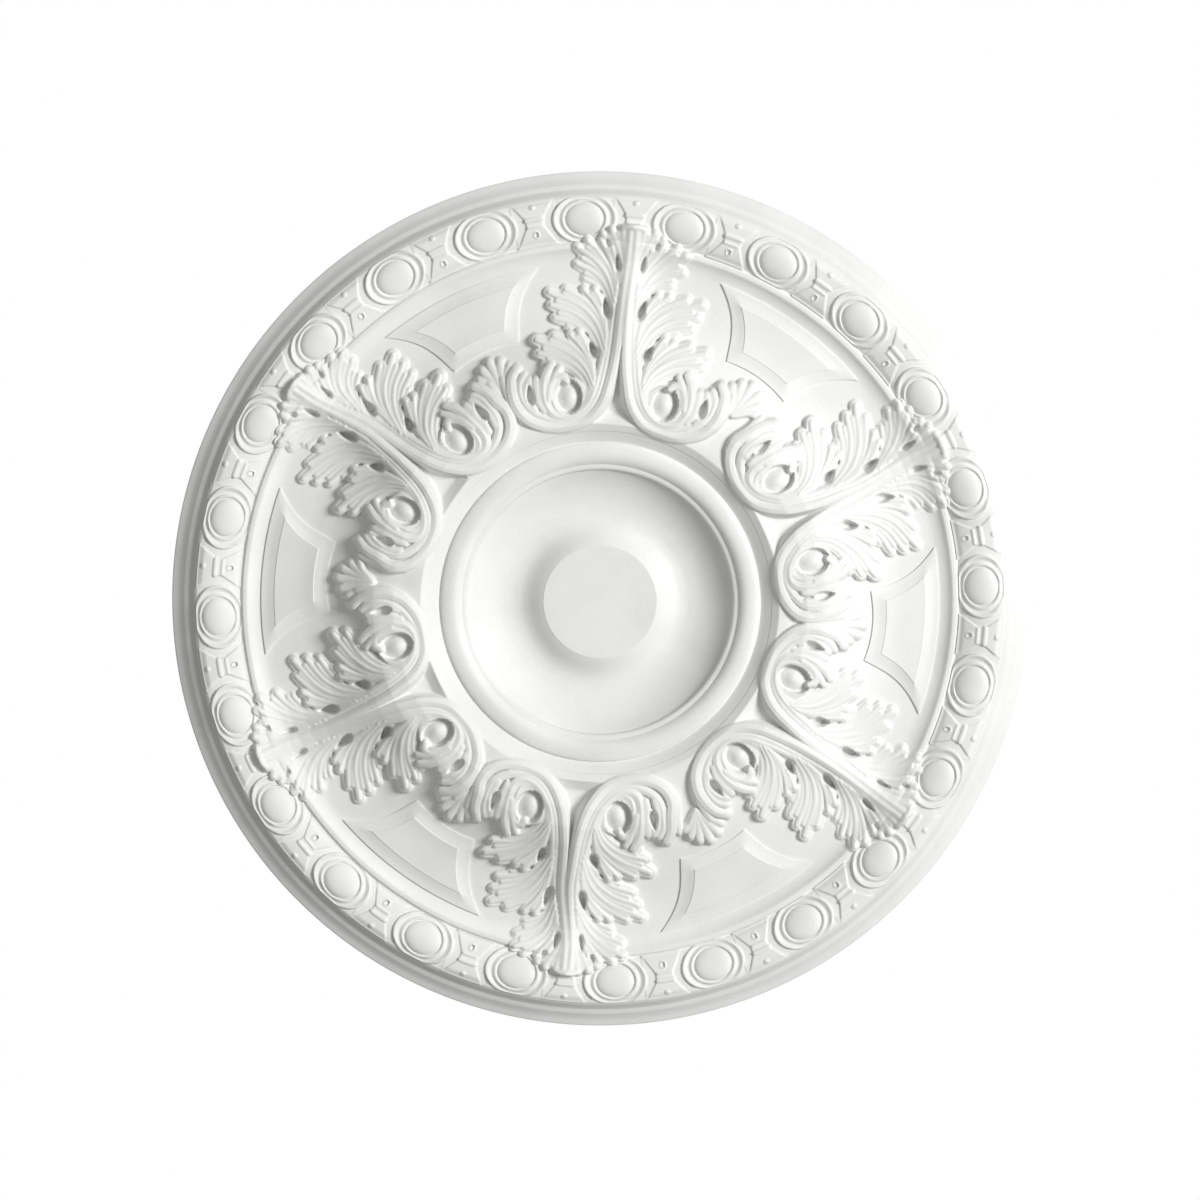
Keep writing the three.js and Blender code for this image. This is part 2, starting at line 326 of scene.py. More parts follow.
def set_leaf(points, side, kind):
    """Points of half a leaf as they lie on one side of a leaf of one of the two kinds."""
    p = np.array(points, float)
    x, y = p[:, 0], p[:, 1]
    if kind == "long":
        x = x * (1 - LONG_DRAW * ease(y, *LONG_DRAW_COMES) * (1 - ease(y, *LONG_DRAW_GOES)))
        shift = LONG_SHIFT * ease(y, *LONG_SHIFT_COMES) * (1 - ease(y, *LONG_SHIFT_GOES))
        y = y + shift * (1 - SHIFT_LOSS * ease(p[:, 0], *SHIFT_LOSS_COMES))
    turn = FOOT_TURN[kind] * (1 - ease(y, *FOOT_TURN_GOES))
    x = x * side
    return np.stack([x * np.cos(turn) + y * np.sin(turn), y * np.cos(turn) - x * np.sin(turn)], 1)


def nearest(line, x, y):
    """Distance from each point to a polyline, and how far along it the nearest place is, from 0 to 1."""
    a, b = line[:-1], line[1:]
    d = b - a
    length = np.maximum(np.hypot(d[:, 0], d[:, 1]), LEAST_LENGTH)
    run = np.concatenate([[0], np.cumsum(length)])
    px, py = x[:, None] - a[:, 0], y[:, None] - a[:, 1]
    t = np.clip((px * d[:, 0] + py * d[:, 1]) / length**2, 0, 1)
    gap = (px - t * d[:, 0]) ** 2 + (py - t * d[:, 1]) ** 2
    best = np.argmin(gap, axis=1)
    rows = np.arange(len(x))
    return np.sqrt(gap[rows, best]), (run[best] + t[rows, best] * length[best]) / run[-1]


def raise_rib(field, x, y, crest, line, half_widths, sinks, back, crown=1.0, reed=0.0, dish=0.0):
    """Raises the field to a rounded rib along a line, with a tapered tip and steep walls beyond its width."""
    reach = max(half_widths) + (np.max(crest) + BURIED) / WALL_SLOPE
    low, high = line.min(0) - reach, line.max(0) + reach
    near = np.flatnonzero((x > low[0]) & (x < high[0]) & (y > low[1]) & (y < high[1]))
    if not len(near):
        return
    gap, along = nearest(line, x[near], y[near])
    half = half_widths[0] + (half_widths[1] - half_widths[0]) * along
    half = half * (1 - (1 - TAPER_TO) * np.clip((along - TAPER_FROM) / (1 - TAPER_FROM), 0, 1) ** 2)
    sink = sinks[0] + (sinks[1] - sinks[0]) * along + dish * np.sin(math.pi * along)
    across = np.minimum(gap / (crown * half), 1)
    fall = back * crown * half * (1 - np.sqrt(1 - across**RIB_FULLNESS))
    grooves = reed * np.sin(math.pi * across) ** 2
    wall = WALL_SLOPE * np.maximum(gap - half, 0)
    field[near] = np.maximum(field[near], crest[near] - sink - (fall + grooves) - wall)


def even_line(line, count):
    """A polyline with count points set evenly along it."""
    run = np.concatenate([[0], np.cumsum(np.hypot(*np.diff(line, axis=0).T))])
    where = np.linspace(0, run[-1], count)
    return np.stack([np.interp(where, run, line[:, 0]), np.interp(where, run, line[:, 1])], 1)


def leaf_ribs():
    """All the ribs of half a leaf as lines, half-widths, sinks and forms, with the lesser ribs between."""
    ribs = []
    for group, form, lesser in RIB_GROUPS:
        count = LOBE_POINTS if lesser else STEM_POINTS
        spread = LOBE_SPREAD if lesser else 1.0
        lines = [
            (even_line(smooth_line(points, RIB_STEPS), count), (widths[0], widths[1] * spread), sinks)
            for points, widths, sinks in group
        ]
        ribs += [(*rib, form) for rib in lines]
        for first, second in zip(lines, lines[1:]) if lesser else ():
            line = (first[0] + second[0])[: int(count * LESSER_LENGTH)] / 2
            widths = [(p + q) / 2 for p, q in zip(first[1], second[1])]
            sinks = [(p + q) / 2 + LESSER_SINK for p, q in zip(first[2], second[2])]
            ribs.append((line, widths, sinks, form))
    return ribs


def oval(x, y, centre, halves, turn):
    """Each point's place along and across a turned oval, as shares of its half-length and half-width."""
    s, c = math.sin(turn), math.cos(turn)
    px, py = x - centre[0], y - centre[1]
    return (px * s + py * c) / halves[0], (px * c - py * s) / halves[1]


def leaf_oval(x, y, centre, halves, degrees, side, kind):
    """Each point's place in an oval of half a leaf, once the oval is set on one side of a leaf of a kind."""
    middle = set_leaf([centre], side, kind)[0]
    return oval(x, y, middle, halves, side * math.radians(degrees))


def carve_leaf(x, y, kind):
    """Rise of one leaf with its scrolls over the turned face: the ribs, then the cuts, then the curls."""
    crest = leaf_rise(x, y)
    ribs = np.full(x.shape, -BURIED)
    cuts = np.full(x.shape, np.inf)
    curls = np.full(x.shape, -BURIED)
    for side in (1, -1):
        for line, half_widths, sinks, form in leaf_ribs():
            raise_rib(ribs, x, y, crest, set_leaf(line, side, kind), half_widths, sinks, *form)
        for points, half_widths, sinks in CURLS:
            line = set_leaf(smooth_line(points, CURL_STEPS), side, kind)
            raise_rib(curls, x, y, crest, line, half_widths, sinks, *CURL_FORM)
        for centre, size, degrees, depth in EYES:
            halves = (size[0] / 2, size[1] / 2)
            along, across = leaf_oval(x, y, centre, halves, degrees, side, kind)
            taper = 1 - EYE_TAPER * np.clip(along, -EYE_BLUNT, 1)
            inside = 1 - np.hypot(along, across / taper)
            cut = np.maximum(crest + EYE_LIFT - EYE_WALL * halves[1] * inside, crest - depth)
            cuts = np.where(inside > 0, np.minimum(cuts, cut), cuts)
        centre, halves, degrees, depth = BOWL
        along, across = leaf_oval(x, y, centre, halves, degrees, side, kind)
        inside = 1 - along**2 - across**2
        cut = crest - BOWL_LIP - depth * np.maximum(inside, 0) ** BOWL_FULLNESS
        cuts = np.where(inside > 0, np.minimum(cuts, cut), cuts)
        centre, halves, degrees, depth = BEAD
        along, across = leaf_oval(x, y, centre, halves, degrees, side, kind)
        inside = 1 - along**2 - across**2
        bead = crest - depth - BEAD_FALL * (1 - inside)
        curls = np.where(inside > 0, np.maximum(curls, bead), curls)
    return ribs, cuts, curls


# The sunk pocket between the two stems, as (distance out, rise): its bevel, its floor, and up to its apex
POCKET = [(151.6, 0), (152.2, -0.6), (161, -6.4), (162, -6.6), (178, -5), (196, 0)]
POCKET_HALF_WIDTH = 22.0


def carve_pocket(x, y):
    """Cut of the sunk pocket at a leaf's foot, between its two stems."""
    pocket = np.array(POCKET)
    inside = (np.abs(x) < POCKET_HALF_WIDTH) & (y > pocket[0, 0]) & (y < pocket[-1, 0])
    return np.where(inside, np.interp(y, pocket[:, 0], pocket[:, 1]), 0)


def carve_palmette(field, x, y):
    """Raises the palmette that stands on a line midway between two leaves."""
    crest = np.full(x.shape, PALMETTE_RISE)
    for points, half_widths, sinks in PALMETTE:
        for side in (1, -1):
            line = smooth_line(points, PALMETTE_STEPS) * (side, 1)
            raise_rib(field, x, y, crest, line, half_widths, sinks, *PALMETTE_FORM)


def turn_about(x, y, angle):
    """The same places in a frame turned by angle, clockwise as the rose is seen from below."""
    return x * math.cos(angle) - y * math.sin(angle), y * math.cos(angle) + x * math.sin(angle)


# A leaf is carved where the cosine of the angle from its axis is more than this
LEAF_SIDE_COSINE = 0.55


def sector_rise(x, y, kind):
    """Rise over the turned face in a leaf's sector, with what its neighbours bring across the border."""
    other = {"long": "short", "short": "long"}[kind]
    ribs = np.full(x.shape, -BURIED)
    cuts = np.full(x.shape, np.inf)
    curls = np.full(x.shape, -BURIED)
    for step, which in ((0, kind), (1, other), (-1, other)):
        lx, ly = turn_about(x, y, step * LEAF_PITCH)
        near = ly > LEAF_SIDE_COSINE * np.hypot(x, y)
        leaf = carve_leaf(lx[near], ly[near], which)
        ribs[near] = np.maximum(ribs[near], leaf[0])
        cuts[near] = np.minimum(cuts[near], leaf[1])
        curls[near] = np.maximum(curls[near], leaf[2])
    for step in (0.5, -0.5):
        px, py = turn_about(x, y, step * LEAF_PITCH)
        carve_palmette(ribs, px, py)
    top = soft_max(ribs, carve_pocket(x, y))
    return np.maximum(np.minimum(top, cuts), curls)


def soft_max(a, b):
    """The higher of two fields, with a small hollow fillet where they meet."""
    h = np.clip(0.5 + 0.5 * (a - b) / JUNCTION, 0, 1)
    return b + (a - b) * h + JUNCTION * h * (1 - h)


def sizes():
    """The settings of the rose's pieces."""
    return bpy.context.scene.rose_sizes


class RoseSizes(bpy.types.PropertyGroup):
    """How finely the rose's pieces are made, and how far the panels and eggs stand out."""

    sector_rows: IntProperty(
        name="Sector rows", description="Rows of faces from the crown out to the border", default=188, min=20
    )
    sector_columns: IntProperty(
        name="Sector columns", description="Faces across one leaf's sector", default=290, min=20
    )
    body_steps: IntProperty(
        name="Body steps", description="Faces round the turned body", default=240, min=24
    )
    egg_steps: IntProperty(name="Egg steps", description="Faces round one egg", default=40, min=8)
    panel_rise: FloatProperty(
        name="Panel rise", description="Height of a panel's raised field", default=4.6 * MM, unit="LENGTH"
    )
    egg_rise: FloatProperty(
        name="Egg rise", description="Height of an egg above its band", default=3.8 * MM, unit="LENGTH"
    )


class RoseColours(bpy.types.PropertyGroup):
    """Colours of the finish and the stage."""

    primer: StringProperty(name="Primer", description="White of the primed face, sRGB hex", default="eaeae8")
    hollow: StringProperty(name="Hollow", description="White in the thin coats, sRGB hex", default="e2e2e0")
    back: StringProperty(name="Back", description="Bare back of the casting, sRGB hex", default="e8e3d6")
    # Darker, yellower tone that the back takes in its bubble pits and where its broad clouds are lowest
    back_pit: StringProperty(
        name="Back pits", description="Stained pits in the back, sRGB hex", default="cdc5b2"
    )
    floor: StringProperty(name="Floor", description="Pale floor, sRGB hex", default="e9e9e8")


class RoseStage(bpy.types.PropertyGroup):
    """Camera, lights, floor and backdrop."""

    camera_distance: FloatProperty(
        name="Camera distance", description="From the lens to the ceiling", default=4.0, unit="LENGTH"
    )
    frame_width: FloatProperty(
        name="Frame width", description="Width that the picture takes in at the ceiling",
        default=1.0258, unit="LENGTH",
    )
    tilt: FloatProperty(
        name="Tilt", description="Lean of the camera off the rose's axis",
        default=math.radians(3.2), unit="ROTATION",
    )
    roll: FloatProperty(
        name="Roll", description="Turn of the picture about the rose's axis", default=math.radians(5.2),
        unit="ROTATION",
    )
    floor_drop: FloatProperty(
        name="Floor drop", description="From the ceiling down to the floor", default=4.6, unit="LENGTH"
    )
    floor_size: FloatProperty(
        name="Floor size", description="Side of the floor", default=120.0, unit="LENGTH"
    )
    key_power: FloatProperty(
        name="Key power", description="Power of the soft key light", default=234.0, unit="POWER"
    )
    key_turn: FloatProperty(
        name="Key turn", description="Turn of the key light from the right towards the top of the picture",
        default=math.radians(16), unit="ROTATION",
    )
    key_size: FloatProperty(
        name="Key size", description="Side of the square key light", default=1.6, unit="LENGTH"
    )
    key_distance: FloatProperty(
        name="Key distance", description="From the rose to the key light", default=5.0, unit="LENGTH"
    )
    backdrop_size: FloatProperty(
        name="Backdrop size", description="Side of the white panel behind the rose",
        default=4.0, unit="LENGTH",
    )
    backdrop_height: FloatProperty(
        name="Backdrop height", description="Height of the white panel above the rose",
        default=6.0, unit="LENGTH",
    )
    world_strength: FloatProperty(name="Fill", description="Strength of the white surroundings", default=0.25)
    top_power: FloatProperty(
        name="Top power", description="Power of the soft light over the back", default=24.0, unit="POWER"
    )
    top_size: FloatProperty(
        name="Top size", description="Side of the square top light", default=0.6, unit="LENGTH"
    )
    top_height: FloatProperty(
        name="Top height", description="Height of the top light over the rose", default=2.0, unit="LENGTH"
    )


def linear(hex_colour):
    """A colour given as sRGB hex as linear RGBA."""
    values = [int(hex_colour[i : i + 2], 16) / 255 for i in (0, 2, 4)]
    return [v / 12.92 if v <= 0.04045 else ((v + 0.055) / 1.055) ** 2.4 for v in values] + [1.0]


def add_node(tree, kind, settings=None, links=None):
    """A shader node with its settings and links: an input's value, or the output that feeds it."""
    node = tree.nodes.new(kind)
    for name, value in (settings or {}).items():
        setattr(node, name, value)
    for name, value in (links or {}).items():
        socket = node.inputs[name]
        if isinstance(value, bpy.types.NodeSocket):
            tree.links.new(value, socket)
        else:
            socket.default_value = value
    return node


def blank_material(name):
    """A new material with an empty node tree, and the tree."""
    material = bpy.data.materials.new(name)
    material.use_nodes = True
    material.node_tree.nodes.clear()
    return material, material.node_tree


def primed_casting():
    """Rigid foam cast in a rubber mould and sprayed with matt white primer.

    The primer gives a soft even white with a faint orange-peel grain. It is a little thinner and
    duller in broad patches, and its sheen is low, so light falls off smoothly over the carving.
    """
    colours = bpy.context.scene.rose_colours
    material, tree = blank_material("white_primed_casting")
    where = add_node(tree, "ShaderNodeTexCoord").outputs["Object"]
    # Broad clouds about 60 mm across, where the sprayed coat is thicker or thinner
    clouds = add_node(tree, "ShaderNodeTexNoise", None, {"Vector": where, "Scale": 17.0, "Detail": 3.0})
    # Fine specks about 3 mm apart, drawn coarser than the real grain so that they show
    specks = add_node(tree, "ShaderNodeTexNoise", None, {"Vector": where, "Scale": 330.0, "Detail": 2.0})
    # The grain of the sprayed coat, 1.5 mm from crest to crest
    grain = add_node(tree, "ShaderNodeTexNoise", None, {"Vector": where, "Scale": 640.0, "Detail": 2.0})
    # The slow unevenness of a hand-finished pattern, about 25 mm across
    waves = add_node(tree, "ShaderNodeTexNoise", None, {"Vector": where, "Scale": 40.0, "Detail": 1.0})
    mixed = add_node(
        tree, "ShaderNodeMath", {"operation": "MULTIPLY_ADD"},
        {0: specks.outputs["Fac"], 1: 0.35, 2: clouds.outputs["Fac"]},
    )
    tint = add_node(tree, "ShaderNodeValToRGB", None, {"Fac": mixed.outputs["Value"]})
    tint.color_ramp.elements[0].position = 0.45
    tint.color_ramp.elements[0].color = linear(colours.hollow)
    tint.color_ramp.elements[1].position = 0.8
    tint.color_ramp.elements[1].color = linear(colours.primer)
    gloss = add_node(
        tree, "ShaderNodeMapRange", None,
        {"Value": clouds.outputs["Fac"], "To Min": 0.5, "To Max": 0.66},
    )
    slow = add_node(
        tree, "ShaderNodeBump", None, {"Height": waves.outputs["Fac"], "Strength": 0.25, "Distance": 0.0006}
    )
    fine = add_node(
        tree, "ShaderNodeBump", None,
        {
            "Height": grain.outputs["Fac"], "Strength": 0.3, "Distance": 0.00012,
            "Normal": slow.outputs["Normal"],
        },
    )
    shader = add_node(
        tree, "ShaderNodeBsdfPrincipled", None,
        {
            "Base Color": tint.outputs["Color"], "Roughness": gloss.outputs["Result"],
            "Normal": fine.outputs["Normal"], "IOR": 1.46, "Specular IOR Level": 0.4,
        },
    )
    add_node(tree, "ShaderNodeOutputMaterial", None, {"Surface": shader.outputs["BSDF"]})
    return material


def levelled_back():
    """The open side of the mould, levelled with a straight bar before the foam set, and left bare.

    It is a warmer and chalkier white than the primed face, with faint drag lines and small burst bubbles.
    """
    colours = bpy.context.scene.rose_colours
    material, tree = blank_material("bare_levelled_casting")
    where = add_node(tree, "ShaderNodeTexCoord").outputs["Object"]
    # Drag lines of the bar run along one way, about 5 mm apart
    drawn = add_node(tree, "ShaderNodeMapping", None, {"Vector": where, "Scale": (1.0, 0.05, 1.0)})
    lines = add_node(
        tree, "ShaderNodeTexNoise", None, {"Vector": drawn.outputs["Vector"], "Scale": 200.0, "Detail": 3.0}
    )
    # Burst bubbles up to 3 mm across, about 14 mm apart
    cells = add_node(tree, "ShaderNodeTexVoronoi", None, {"Vector": where, "Scale": 70.0})
    pits = add_node(
        tree, "ShaderNodeMapRange", None,
        {"Value": cells.outputs["Distance"], "From Min": 0.04, "From Max": 0.12},
    )
    # Stains about 110 mm across, where the casting has yellowed a little
    clouds = add_node(tree, "ShaderNodeTexNoise", None, {"Vector": where, "Scale": 9.0, "Detail": 4.0})
    # The back goes to the darker, yellower tone in the bubble pits and where the broad clouds are lowest
    tone = add_node(
        tree, "ShaderNodeMath", {"operation": "MULTIPLY"},
        {0: clouds.outputs["Fac"], 1: pits.outputs["Result"]},
    )
    tint = add_node(tree, "ShaderNodeValToRGB", None, {"Fac": tone.outputs["Value"]})
    tint.color_ramp.elements[0].position = 0.04
    tint.color_ramp.elements[0].color = linear(colours.back_pit)
    tint.color_ramp.elements[1].position = 0.46
    tint.color_ramp.elements[1].color = linear(colours.back)
    drag = add_node(
        tree, "ShaderNodeBump", None, {"Height": lines.outputs["Fac"], "Strength": 0.4, "Distance": 0.0006}
    )
    burst = add_node(
        tree, "ShaderNodeBump", None,
        {
            "Height": pits.outputs["Result"], "Strength": 0.6, "Distance": 0.0008,
            "Normal": drag.outputs["Normal"],
        },
    )
    shader = add_node(
        tree, "ShaderNodeBsdfPrincipled", None,
        {
            "Base Color": tint.outputs["Color"], "Roughness": 0.78,
            "Normal": burst.outputs["Normal"], "IOR": 1.46,
        },
    )
    add_node(tree, "ShaderNodeOutputMaterial", None, {"Surface": shader.outputs["BSDF"]})
    return material


def material_named(name, make):
    """The material of that name, made the first time that it is asked for."""
    return bpy.data.materials.get(name) or make()


def spin_section(points, steps):
    """A bmesh turned about the z axis from a section of points."""
    bm = bmesh.new()
    verts = [bm.verts.new(point) for point in points]
    edges = [bm.edges.new(pair) for pair in zip(verts, verts[1:])]
    bmesh.ops.spin(
        bm, geom=[*verts, *edges], cent=(0, 0, 0), axis=(0, 0, 1), angle=2 * math.pi,
        steps=steps, use_merge=True,
    )
    return bm


def close_poles(bm):
    """Merges the doubled vertices at a turned shape's poles, and turns its faces outwards."""
    bmesh.ops.remove_doubles(bm, verts=bm.verts, dist=MERGE_DISTANCE)
    bmesh.ops.recalc_face_normals(bm, faces=bm.faces)


def grid_places(rows, columns):
    """A flat grid from one operator, and its vertices' places across and up from -1 to 1."""
    bm = bmesh.new()
    bmesh.ops.create_grid(bm, x_segments=columns, y_segments=rows, size=1.0)
    bm.verts.ensure_lookup_table()
    places = np.array([v.co for v in bm.verts])
    return bm, places[:, 0], places[:, 1]


def close_sheet(bm, foot_height):
    """Closes a sheet with a wall from its rim to the height that foot_height gives, and a floor."""
    rim = [edge for edge in bm.edges if edge.is_boundary]
    wall = bmesh.ops.extrude_edge_only(bm, edges=rim)["geom"]
    for item in wall:
        if isinstance(item, bmesh.types.BMVert):
            item.co.z = foot_height(item.co.z)
    edges = [item for item in wall if isinstance(item, bmesh.types.BMEdge)]
    bmesh.ops.holes_fill(bm, edges=edges, sides=0)
    bmesh.ops.recalc_face_normals(bm, faces=bm.faces)


def finish_piece(bm, name, arris_degrees):
    """A bmesh in millimetres as a named object of the rose, with its arrises kept crisp."""
    bmesh.ops.scale(bm, vec=(MM, MM, MM), verts=bm.verts)
    limit = math.radians(arris_degrees)
    for face in bm.faces:
        face.smooth = True
    for edge in bm.edges:
        edge.smooth = not edge.is_manifold or edge.calc_face_angle(0) < limit
    mesh = bpy.data.meshes.new(name)
    bm.to_mesh(mesh)
    bm.free()
    return link_piece(mesh, name)


def link_piece(mesh, name):
    """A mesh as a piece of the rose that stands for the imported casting."""
    piece = bpy.data.objects.new(name, mesh)
    bpy.context.scene.collection.objects.link(piece)
    mesh.materials.append(material_named("white_primed_casting", primed_casting))
    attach(piece, BODY)
    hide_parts(NODE)
    return piece


class ROSE_OT_body(bpy.types.Operator):
    """Turns the body: the boss, dish and collar, the channel for the carved sectors, the rim and the back"""

    bl_idname = "rose.body"
    bl_label = "Turned body"

    def execute(self, context):
        radii = SECTION[:, 0]
        inner = [tuple(p) for p in SECTION[radii < CARVED_INNER]]
        outer = [tuple(p) for p in SECTION[radii > CARVED_OUTER]]
        joint_in = (CARVED_INNER, float(face_depth(CARVED_INNER)))
        joint_out = (CARVED_OUTER, float(face_depth(CARVED_OUTER)))
        profile = [
            *inner, joint_in, (CARVED_INNER, CHANNEL_DEPTH), (CARVED_OUTER, CHANNEL_DEPTH), joint_out,
            *outer, (ROSE_RADIUS, RIM[-1][1] - EDGE_FALL), (ROSE_RADIUS, BACK_CHAMFER),
            (ROSE_RADIUS - BACK_CHAMFER, 0), (0, 0),
        ]
        bm = spin_section([(radius, 0, -depth) for radius, depth in profile], sizes().body_steps)
        close_poles(bm)
        body = finish_piece(bm, "turned_body", BODY_ARRIS)
        body.data.materials.append(material_named("bare_levelled_casting", levelled_back))
        for face in body.data.polygons:
            face.material_index = int(face.center.z > -BACK_DISTANCE)
        return {"FINISHED"}


# Over this width at its inner and outer edge a sector's carving fades into the turned face
SECTOR_BLEND = 1.5


class ROSE_OT_sectors(bpy.types.Operator):
    """Carves the six sectors of leaves, scrolls and palmettes"""

    bl_idname = "rose.sectors"
    bl_label = "Leaves and scrolls"

    def execute(self, context):
        rows, columns = sizes().sector_rows, sizes().sector_columns
        for kind, first in (("short", 0), ("long", 1)):
            bm, across, up = grid_places(rows, columns)
            bm.free()
            angle = across * LEAF_PITCH / 2
            radius = CARVED_INNER + (CARVED_OUTER - CARVED_INNER) * (up + 1) / 2
            x, y = radius * np.sin(angle), radius * np.cos(angle)
            comes = ease(radius, CARVED_INNER, CARVED_INNER + SECTOR_BLEND)
            goes = 1 - ease(radius, CARVED_OUTER - SECTOR_BLEND, CARVED_OUTER)
            rise = sector_rise(x, y, kind) * (comes * goes)
            self.build(first, x, y, -(face_depth(radius) + rise), rows, columns)
        return {"FINISHED"}

    def build(self, first, x, y, z, rows, columns):
        """Makes the three sectors of one kind from the places of their carved face."""
        for turn in range(first, LEAVES, 2):
            bm, _, _ = grid_places(rows, columns)
            for vert, px, py, pz in zip(bm.verts, x.tolist(), y.tolist(), z.tolist()):
                vert.co = (py, px, pz)
            close_sheet(bm, lambda height: -CHANNEL_DEPTH)
            place = Matrix.Rotation(turn * LEAF_PITCH, 3, "Z")
            bmesh.ops.rotate(bm, verts=bm.verts, cent=(0, 0, 0), matrix=place)
            finish_piece(bm, f"acanthus_sector_{turn + 1}", SECTOR_ARRIS)


PANEL_OUTER = 288.5
PANEL_INNER = 230.5
PANEL_OUTER_ANGLE = math.radians(14.3)
PANEL_INNER_ANGLE = math.radians(7.4)
PANEL_BOW = 0.12
PANEL_INNER_BOW = 2.6
# The border of a panel from its edge inwards, as (inset, share of the rise), and the faces of its field
PANEL_BORDER = [(0, -0.6), (0, 0.34), (0.8, 0.38), (3.2, 0.42), (7, 0.62), (11.2, 0.86), (11.8, 1.0)]
PANEL_FIELD_ROWS = 14
PANEL_FIELD_COLUMNS = 30


def panel_face(across, up, rows, columns):
    """Radius, angle from the panel's own axis, and depth of each vertex of a panel's face."""
    border = len(PANEL_BORDER) - 1
    inset = np.array([p[0] for p in PANEL_BORDER], float)
    share = np.array([p[1] for p in PANEL_BORDER])
    column = np.rint((across + 1) / 2 * columns)
    row = np.rint((up + 1) / 2 * rows)
    from_side = np.minimum(np.minimum(column, columns - column), border).astype(int)
    from_end = np.minimum(np.minimum(row, rows - row), border).astype(int)
    middle = np.clip((column - columns / 2) / (columns / 2 - border), -1, 1)
    along = np.clip((row - border) / (rows - 2 * border), 0, 1)
    full = PANEL_OUTER - PANEL_INNER
    # The share of the way out, as if the edge ran straight from side to side
    out = (inset[border] + (full - 2 * inset[border]) * along) / full
    out = np.where(row < border, inset[from_end] / full, out)
    out = np.where(row > rows - border, 1 - inset[from_end] / full, out)
    half = PANEL_INNER_ANGLE + (PANEL_OUTER_ANGLE - PANEL_INNER_ANGLE) * out
    half = half * (1 - PANEL_BOW * np.sin(math.pi * out))
    radius = PANEL_INNER + full * out
    edge = half - inset[from_side] / radius
    angle = np.where(from_side < border, np.sign(middle) * edge, middle * edge)
    radius = radius + PANEL_INNER_BOW * (1 - out) * (1 - (angle / half) ** 2)
    rise = share[np.minimum(from_side, from_end)] * sizes().panel_rise / MM
    return radius, angle, face_depth(radius) + rise


class ROSE_OT_panels(bpy.types.Operator):
    """Sets the six bevelled panels into the valley between the leaves"""

    bl_idname = "rose.panels"
    bl_label = "Panels"

    def execute(self, context):
        border = len(PANEL_BORDER) - 1
        rows, columns = 2 * border + PANEL_FIELD_ROWS, 2 * border + PANEL_FIELD_COLUMNS
        for index in range(LEAVES):
            bm, across, up = grid_places(rows, columns)
            radius, angle, depth = panel_face(across, up, rows, columns)
            angle = angle + (index + 0.5) * LEAF_PITCH
            for vert, r, a, d in zip(bm.verts, radius.tolist(), angle.tolist(), depth.tolist()):
                vert.co = (r * math.cos(a), r * math.sin(a), -d)
            rim = [edge for edge in bm.edges if edge.is_boundary]
            bmesh.ops.holes_fill(bm, edges=rim, sides=0)
            bmesh.ops.recalc_face_normals(bm, faces=bm.faces)
            finish_piece(bm, f"panel_{index + 1}", PANEL_ARRIS)
        return {"FINISHED"}


# The ring that the eggs and darts are centred on, and the convex band that they lie on
EGG_RING = 324.5
BAND_HALF_WIDTH = 18.6
BAND_INNER = OVOLO[0][0]
BAND_OUTER = OVOLO[-1][0]
# How much of their height eggs and darts lose towards the band's edges, and how far out that starts
EDGE_FADE = 0.75
EDGE_FADE_FROM = 13.0
SHELL_FOOT = -5.0
# Half the section of an egg in its shell: half-width round the border, half-width across it, and height
EGG = [
    (0, 0, 3.8), (5, 4.2, 3.7), (9.2, 7.9, 3.4), (12.3, 10.6, 2.9), (14.4, 12.4, 2.2), (15.5, 13.3, 1.5),
    (15.9, 13.7, 0.9), (16.1, 13.9, 0.3),
]
SHELL = [
    (16.7, 14.4, 0.3), (17.2, 14.8, 1.5), (18.2, 15.6, 2.2), (19.4, 16.4, 2), (20.4, 17, 0.9),
    (21.6, 17.7, 0.4), (23, 18.6, 0.9), (24.6, 19.4, 2.1), (25.8, 20, 2.8), (26.8, 20.6, 2.5),
    (27.5, 21, 1.2), (27.8, 21.2, SHELL_FOOT),
]


def on_band(across, out, height, angle):
    """A place on the border's convex band, across and out from the ring of eggs, in millimetres."""
    out = max(-BAND_HALF_WIDTH, min(BAND_HALF_WIDTH, out))
    fade = EDGE_FADE * float(ease(abs(out), EDGE_FADE_FROM, BAND_HALF_WIDTH))
    height = min(height, height * (1 - fade))
    radius = EGG_RING + out
    turn = angle + across / EGG_RING
    depth = face_depth(np.clip(radius, BAND_INNER, BAND_OUTER)) + height
    return radius * math.cos(turn), radius * math.sin(turn), -float(depth)


class ROSE_OT_eggs(bpy.types.Operator):
    """Turns an egg in its shell and sets the whole ring of them on the border"""

    bl_idname = "rose.eggs"
    bl_label = "Eggs"

    def execute(self, context):
        rise = sizes().egg_rise / MM / EGG[0][2]
        section = [(a, o, h * rise) for a, o, h in EGG] + SHELL + [(0, 0, SHELL_FOOT)]
        for index in range(EGGS):
            bm = spin_section([(place, 0, 0) for place in range(len(section))], sizes().egg_steps)
            # Each ring, numbered by its radius so far, takes its half-widths and height
            for vert in bm.verts:
                ring = round(math.hypot(vert.co.x, vert.co.y))
                turn = math.atan2(vert.co.y, vert.co.x)
                across, out, height = section[ring]
                vert.co = on_band(
                    across * math.cos(turn), out * math.sin(turn), height, (index + 0.5) * EGG_PITCH
                )
            close_poles(bm)
            finish_piece(bm, f"egg_and_shell_{index + 1}", SHELL_ARRIS)
        return {"FINISHED"}


DART_ROWS = 54
DART_COLUMNS = 52
DART_HALF_WIDTH = 18.0
# How far a dart's wall reaches into the body
DART_WALL = 6
DART_GROUND = 0.5
DART_PLATE = 1.9
# The plate's half-width at its waist, where the waist lies, how long it is straight, and how the plate flares
DART_WAIST = 7.0
DART_MIDDLE = 0.5
DART_STRAIGHT = 3
DART_FLARE = 0.58
DART_BEND = 1.04
